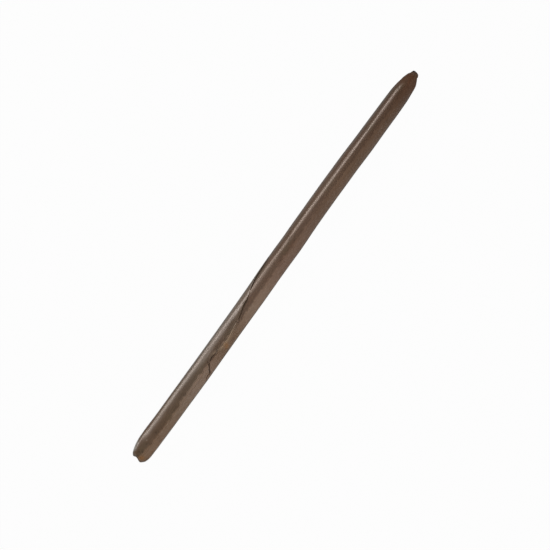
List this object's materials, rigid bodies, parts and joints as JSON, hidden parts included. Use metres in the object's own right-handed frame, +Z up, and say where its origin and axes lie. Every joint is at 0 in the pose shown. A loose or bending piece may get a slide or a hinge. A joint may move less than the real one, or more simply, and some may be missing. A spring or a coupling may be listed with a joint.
{
  "type": "charcoal stick",
  "caption": "Slim natural drawing charcoal stick, a carbonised twig with a tapered snapped tip, a rounded butt and a rind that laps along a slanting seam.",
  "frame": {"origin": "under the middle of the stick's length, on the surface that it rests on", "axes": "+X along the stick towards its pointed tip, +Z up from the worn flat that it rests on, +Y to the side where the seam meets the upper rind first"},
  "size_m": [0.15, 0.0066, 0.0064],
  "materials": {
    "pith": "spongy, matt, almost black",
    "wood": "charred wood, matt, dark brown",
    "inner_bark": "fibrous, matt, orange brown",
    "upper_rind": "satin, finely grained along the stick, dark brown",
    "lower_rind": "satin, finely grained along the stick, grey brown"
  },
  "bodies": {
    "root": {"pith": "pith", "wood": "wood", "inner_bark": "inner_bark", "upper_rind": "upper_rind", "lower_rind": "lower_rind"}
  },
  "joints": []
}
